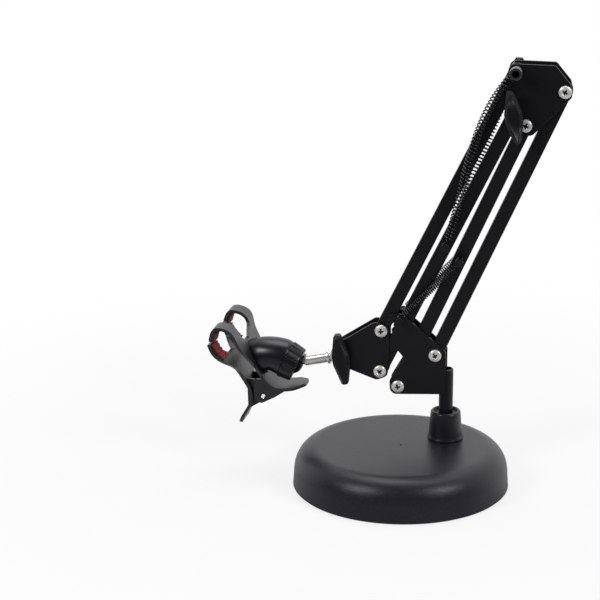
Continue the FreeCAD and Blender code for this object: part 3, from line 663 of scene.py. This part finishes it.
at_pivots = pivot_tree()
screw = screw_shape()
nut = nut_shape()
for joint, seed in (("base", 3), ("elbow", 8), ("head", 5)):
    for kind, shape, seat in (("screws", screw, ARM_Y - PLATE_OUT), ("nuts", nut, ARM_Y + PLATE_OUT)):
        node = joint + "_pivot_" + kind
        points = bpy.data.meshes.new(node)
        points.from_pydata([(x, seat, z) for x, z in pivots(node)], [], [])
        piece = grown(at_pivots, {"Fastener": shape, "Most Turn": MOST_TURN, "Seed": seed,
                                  "Finish": bright_steel.material}, node + "_set", points)
        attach(piece, frame["nodes"][node]["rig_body"])
        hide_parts(node)
bpy.data.objects.remove(screw)
bpy.data.objects.remove(nut)

# The cap screw: a hex-socket screw on the upper lead pivot, long enough to carry the upper springs.
# The screw is dulled with oxide, and near black within the radius of its socket as painted shade inside
# the socket; its nut is blackened like the pins.
dull_steel = Finish("dulled steel", {"Metallic": 1.0})
film = dull_steel.grain(0.0009, 3.0)
key_low, key_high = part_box("spring_cap_screw")
KEY_R = 0.0026
KEY_BLUR = 0.0001
key_axis = ((key_low.x + key_high.x) / 2, 0.0, (key_low.z + key_high.z) / 2)
place = dull_steel.node("ShaderNodeTexCoord", out="Object")
flat = dull_steel.node("ShaderNodeVectorMath", {"operation": "MULTIPLY"},
                       {0: place, 1: (1.0, 0.0, 1.0)}, "Vector")
reach = dull_steel.node("ShaderNodeVectorMath", {"operation": "DISTANCE"}, {0: flat, 1: key_axis}, "Value")
oxide_grey = dull_steel.blend(film, (0.15, 0.15, 0.155, 1), (0.26, 0.26, 0.265, 1))
# Within the key radius of the axis the colour is near black: painted shade inside the socket.
dull_steel.colour(dull_steel.blend(dull_steel.steps(reach, KEY_R - KEY_BLUR, KEY_R + KEY_BLUR),
                                   (0.012, 0.012, 0.014, 1), oxide_grey))
dull_steel.rough(0.34 + 0.14 * film)
dressed("spring_cap_screw", dull_steel.material, 0.0003, segments=3)
dressed("spring_cap_nut", dark_pin.material, 0.0003)

# The clamp bolts and wing nuts: a steel bolt through each clamped joint, and on its near end a
# wing nut moulded in dark plastic with bevelled lobes, to be pinched by hand.
wing_plastic = Finish("wing nut plastic", {"Specular IOR Level": 0.32})
matt = wing_plastic.grain(0.0005, 2.0)
sink = wing_plastic.grain(0.010, 2.0)
wing_plastic.colour(wing_plastic.blend(sink, (0.0050, 0.0050, 0.0072, 1), (0.0088, 0.0088, 0.0118, 1)))
wing_plastic.rough(0.34 + 0.12 * matt)
wing_plastic.relief(matt, 0.00004, 0.35)
for node in ("elbow_clamp_bolt", "head_clamp_bolt"):
    dressed(node, bright_steel.material, 0.0003)
for node in ("elbow_wing_nut", "head_wing_nut"):
    dressed(node, wing_plastic.material, 0.0006, segments=3)

# The rod: turned steel, chrome plated, a flat eye at one end and the ball of the joint at the other.
# The ball, and the rod just past it, are coloured near black.
rod_chrome = Finish("chrome plate", {"Metallic": 0.75})
polish = rod_chrome.grain(0.0012, 3.0)
plate = rod_chrome.blend(polish, (0.92, 0.90, 0.88, 1), (0.98, 0.965, 0.945, 1))
BALL_R = 0.0080
PLATE_FROM = 0.0004
PLATE_FULL = 0.0008
low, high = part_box("head_rod")
ball_centre = (low.x + BALL_R, (low.y + high.y) / 2, low.z + BALL_R)
place = rod_chrome.node("ShaderNodeTexCoord", out="Object")
reach = rod_chrome.node("ShaderNodeVectorMath", {"operation": "DISTANCE"},
                        {0: place, 1: ball_centre}, "Value")
rod_chrome.colour(rod_chrome.blend(rod_chrome.steps(reach, BALL_R + PLATE_FROM, BALL_R + PLATE_FULL),
                                   (0.012, 0.012, 0.014, 1), plate))
rod_chrome.rough(0.26 + 0.06 * polish)
rod_chrome.relief(polish, 0.000001, 0.1)
dressed("head_rod", rod_chrome.material, 0.0003, segments=3)

# The friction cup: pale nylon, hollowed to the ball and seated behind it inside the socket.
# It rubs on the ball, so that the clip stays where it is turned.
nylon = Finish("nylon", {"Specular IOR Level": 0.4})
haze = nylon.grain(0.002, 2.0)
nylon.colour(nylon.blend(haze, (0.62, 0.61, 0.57, 1), (0.72, 0.71, 0.67, 1)))
nylon.rough(0.40 + 0.1 * haze)
nylon.relief(haze, 0.00002, 0.2)
dressed("ball_liner", nylon.material, 0.0002)

# The ball socket and its lock ring: glossy black mouldings that hold the ball.
# The socket is a bent bell that carries the clip, and the ring on its mouth is ribbed for the fingers.
gloss_black = Finish("glossy black plastic", {"Specular IOR Level": 0.5})
ripple = gloss_black.grain(0.006, 2.0)
scuff = gloss_black.grain(0.0004, 2.0)
gloss_black.colour(gloss_black.blend(ripple, (0.0044, 0.0044, 0.0076, 1), (0.0080, 0.0080, 0.0125, 1)))
gloss_black.rough(0.26 + 0.10 * scuff)
gloss_black.relief(ripple * 0.8 + scuff * 0.2, 0.00005, 0.25)
dressed("ball_socket", gloss_black.material, 0.0003)
dressed("lock_ring", gloss_black.material, 0.0003)

# The clip: two bent halves of moulded grey-black plastic with broad satin faces, each forked into claws.
# Their ears interleave on one hinge, and the lever of each half lies beyond it.
clip_grey = Finish("clip plastic", {"Specular IOR Level": 0.7})
satin = clip_grey.grain(0.0006, 2.0)
drift = clip_grey.grain(0.012, 2.0)
clip_grey.colour(clip_grey.blend(drift, (0.0098, 0.0093, 0.0130, 1), (0.0152, 0.0147, 0.0192, 1)))
clip_grey.rough(0.30 + 0.12 * satin)
clip_grey.relief(satin, 0.00003, 0.3)
for node in ("clip_half_a", "clip_half_b"):
    dressed(node, clip_grey.material, 0.0004, segments=3)

# The hinge tube: a short piece of drawn steel tube, pushed through the ears of both halves.
# Its bore is left bright, and its ends and its outside are blackened.
tube_steel = Finish("hinge tube steel", {"Metallic": 1.0})
turning = tube_steel.grain(0.0007, 3.0)
BORE_R = 0.0016
BLACK_FROM = 0.00005
BLACK_FULL = 0.00015
CLIP_TURN = math.radians(-4.5)
hinge_centre = sum(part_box("clip_hinge_tube"), Vector()) / 2
far_side = Vector((-math.sin(CLIP_TURN), math.cos(CLIP_TURN), 0.0))
place = tube_steel.node("ShaderNodeTexCoord", out="Object")
arm = tube_steel.node("ShaderNodeVectorMath", {"operation": "SUBTRACT"},
                      {0: place, 1: hinge_centre}, "Vector")
swept = tube_steel.node("ShaderNodeVectorMath", {"operation": "CROSS_PRODUCT"},
                        {0: arm, 1: -far_side}, "Vector")
reach = tube_steel.node("ShaderNodeVectorMath", {"operation": "LENGTH"}, {0: swept}, "Value")
bare = tube_steel.blend(turning, (0.93, 0.92, 0.91, 1), (0.97, 0.96, 0.95, 1))
outside = tube_steel.steps(reach, BORE_R + BLACK_FROM, BORE_R + BLACK_FULL)
tube_steel.colour(tube_steel.blend(outside, bare, (0.030, 0.030, 0.034, 1)))
tube_steel.rough(0.05 + 0.08 * turning)
dressed("clip_hinge_tube", tube_steel.material, 0.0001)

# The hinge spring: a torsion spring of black spring wire, wound round the hinge tube.
# One leg bears on each half of the clip, on the side of the levers, and so it closes the jaws.
COIL_R = 0.0035
COIL_WIRE = 0.0006
COIL_HALF = 0.0056
WHOLE_TURNS = 8
FIRST_LEG = 0.0125
FIRST_AIM = math.atan2(-0.0006, 0.0145)
LAST_LEG = 0.0090
LAST_AIM = math.atan2(0.0110, -0.0040)


def torsion_tree():
    """Coil along +Z from the origin with a straight leg off each end, then laid into place."""
    net, given = new_tree("torsion spring", [
        ("Coil Length", "Float"), ("Coil Radius", "Float"), ("Wire Radius", "Float"), ("Turns", "Float"),
        ("First Leg", "Float"), ("Last Leg", "Float"), ("Spin", "Vector"), ("Place", "Vector"),
        ("Lay", "Vector"), ("Finish", "Material")])
    height = given["Coil Length"]
    radius = given["Coil Radius"]
    reach = given["Last Leg"]
    sweep = 2.0 * math.pi * given["Turns"]
    across = net.node("ShaderNodeMath", {"operation": "COSINE"}, {0: sweep})
    along = net.node("ShaderNodeMath", {"operation": "SINE"}, {0: sweep})
    first = net.node("GeometryNodeCurvePrimitiveLine", None, {
        "Start": point(net, radius, 0.0, 0.0), "End": point(net, radius, given["First Leg"], 0.0)})
    last = net.node("GeometryNodeCurvePrimitiveLine", None, {
        "Start": point(net, radius * across, 0.0 - radius * along, height),
        "End": point(net, radius * across - reach * along, 0.0 - radius * along - reach * across, height)})
    wound = round_wire(net, [coil(net, given, 24), first, last], given["Wire Radius"], 10)
    spun = net.node("GeometryNodeTransform", None, {"Geometry": wound, "Rotation": given["Spin"]})
    laid = net.node("GeometryNodeTransform", None, {
        "Geometry": spun, "Translation": given["Place"], "Rotation": given["Lay"]})
    return closed_tree(net, laid, given["Finish"])


near_end = hinge_centre - COIL_HALF * far_side
far_end = hinge_centre + COIL_HALF * far_side
part_turn = (FIRST_AIM - LAST_AIM - math.pi) % (2 * math.pi)
clip_coil = grown(torsion_tree(), {
    "Coil Length": 2 * COIL_HALF, "Coil Radius": COIL_R, "Wire Radius": COIL_WIRE,
    "Turns": WHOLE_TURNS + part_turn / (2 * math.pi), "First Leg": FIRST_LEG, "Last Leg": LAST_LEG,
    "Spin": (0.0, 0.0, FIRST_AIM - math.pi / 2), "Place": near_end,
    "Lay": (-math.pi / 2, 0.0, CLIP_TURN), "Finish": spring_steel.material}, "clip_spring_wound")
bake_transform(clip_coil)
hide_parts("clip_spring")

# The jaw pads: red rubber with cross teeth, glued inside the tip of each claw.
# Their sides, just inside the sides of the claws, are painted dark as shade.
red_rubber = Finish("red rubber", {"Specular IOR Level": 0.35})
chalk = red_rubber.grain(0.0009, 3.0)
red = red_rubber.blend(chalk, (0.25, 0.012, 0.012, 1), (0.40, 0.022, 0.020, 1))
facing = red_rubber.node("ShaderNodeTexCoord", out="Normal")
sideways = red_rubber.node("ShaderNodeVectorMath", {"operation": "DOT_PRODUCT"},
                           {0: facing, 1: far_side}, "Value")
side_facing = red_rubber.node("ShaderNodeMath", {"operation": "ABSOLUTE"}, {0: sideways})
SIDE_FROM = 0.55
SIDE_FULL = 0.85
# Faces that turn sideways are painted near black: painted shade along the sides of the pads.
side = red_rubber.steps(side_facing, SIDE_FROM, SIDE_FULL)
red_rubber.colour(red_rubber.blend(side, red, (0.016, 0.014, 0.016, 1)))
red_rubber.rough(0.50 + 0.2 * chalk)
red_rubber.relief(chalk, 0.00006, 0.4)
for node in ("jaw_pads_a", "jaw_pads_b"):
    dressed(node, red_rubber.material, 0.0002)

# The studio: a pale table that keeps the soft shadow and fades to white, two soft boxes in front,
# one above, white behind and dim in front. The camera stands a little above and to the right.
TABLE_R = 0.5
NEAR_WHITE = 0.78  # share of plain white in the table near the object; beyond, it fades to 1
FADE_FROM = 0.15
FADE_TO = 0.55
DUSK_FROM = 0.06  # the part of the table in front that mirrors as grey, by depth
DUSK_TO = -0.10
table_form = bmesh.new()
bmesh.ops.create_circle(table_form, cap_ends=True, radius=TABLE_R, segments=96)
table = as_piece(table_form, "table")
table_top = Finish("pale table", {"Roughness": 0.7, "Specular IOR Level": 0.1})
sheen = table_top.grain(0.05, 2.0)
table_top.colour(table_top.blend(sheen, (0.84, 0.83, 0.835, 1), (0.87, 0.86, 0.865, 1)))
place = table_top.node("ShaderNodeTexCoord", out="Object")
away = table_top.node("ShaderNodeVectorMath", {"operation": "LENGTH"}, {0: place}, "Value")
white = table_top.node("ShaderNodeEmission", None, {"Color": (1, 1, 1, 1), "Strength": 1.0})
seen = table_top.node("ShaderNodeLightPath", out="Is Camera Ray")
share = seen * (NEAR_WHITE + (1 - NEAR_WHITE) * table_top.steps(away, FADE_FROM, FADE_TO))
mixed = table_top.node("ShaderNodeMixShader", None, {
    0: share, 1: Wire(table_top, table_top.shader.outputs[0]), 2: white})
depth = table_top.node("ShaderNodeSeparateXYZ", None, {0: place}, "Y")
mirrored = table_top.node("ShaderNodeLightPath", out="Is Glossy Ray")
dusk = table_top.node("ShaderNodeEmission", None, {"Color": (0.33, 0.33, 0.35, 1), "Strength": 1.0})
shown = table_top.node("ShaderNodeMixShader", None, {
    0: mirrored * table_top.steps(depth, DUSK_FROM, DUSK_TO), 1: mixed, 2: dusk})
table_top.feed(table_top.tree.nodes["Material Output"], "Surface", shown)
table.data.materials.append(table_top.material)

FRONT_FROM = -0.25
BACK_FROM = 0.45
FRONT_LEVEL = 0.03
BACK_LEVEL = 1.0
FILL_LEVEL = 0.30
world = bpy.data.worlds.new("studio")
bpy.context.scene.world = world
world.use_nodes = True
sky = Net(world.node_tree)
ray = sky.node("ShaderNodeTexCoord", out="Generated")
depth = sky.node("ShaderNodeSeparateXYZ", None, {0: ray}, "Y")
behind = sky.node("ShaderNodeMapRange", {"interpolation_type": "SMOOTHSTEP"}, {
    "Value": depth, "From Min": FRONT_FROM, "From Max": BACK_FROM,
    "To Min": FRONT_LEVEL, "To Max": BACK_LEVEL})
camera_ray = sky.node("ShaderNodeLightPath", out="Is Camera Ray")
glossy_ray = sky.node("ShaderNodeLightPath", out="Is Glossy Ray")
level = camera_ray + (1 - camera_ray) * (glossy_ray * behind + (1 - glossy_ray) * FILL_LEVEL)
sky.feed(world.node_tree.nodes["Background"], "Strength", level)
sky.feed(world.node_tree.nodes["Background"], "Color", (1.0, 1.0, 1.0, 1.0))


def soft_box(name, place, aim, size, power):
    lamp = bpy.data.lights.new(name, "AREA")
    lamp.shape = "RECTANGLE"
    lamp.size = size[0]
    lamp.size_y = size[1]
    lamp.energy = power
    box = bpy.data.objects.new(name, lamp)
    bpy.context.scene.collection.objects.link(box)
    box.location = place
    box.rotation_euler = (Vector(aim) - Vector(place)).to_track_quat("-Z", "Y").to_euler()


ABOVE_BASE = (0.0, 0.0, 0.08)
FOOT = (0.0, 0.0, 0.0)
SIDE_BOX = (0.40, 0.60)
TOP_BOX = (1.4, 1.1)
soft_box("left soft box", place=(-1.05, -1.10, 1.15), aim=ABOVE_BASE, size=SIDE_BOX, power=12.0)
soft_box("right soft box", place=(1.28, -0.78, 1.15), aim=ABOVE_BASE, size=SIDE_BOX, power=11.0)
soft_box("top soft box", place=(0.0, 0.45, 1.9), aim=FOOT, size=TOP_BOX, power=14.0)

CAMERA_PLACE = Vector((0.18075, -1.6814, 0.67606))
CAMERA_AIM = Vector((-0.0690, -0.01031, 0.13423))
lens = bpy.data.cameras.new("camera")
lens.sensor_width = 36.0
lens.lens = 156.8
lens.clip_end = 20.0
camera = bpy.data.objects.new("camera", lens)
bpy.context.scene.collection.objects.link(camera)
camera.location = CAMERA_PLACE
camera.rotation_euler = (CAMERA_AIM - CAMERA_PLACE).to_track_quat("-Z", "Y").to_euler()
bpy.context.scene.camera = camera
bpy.context.scene.view_settings.view_transform = "Standard"
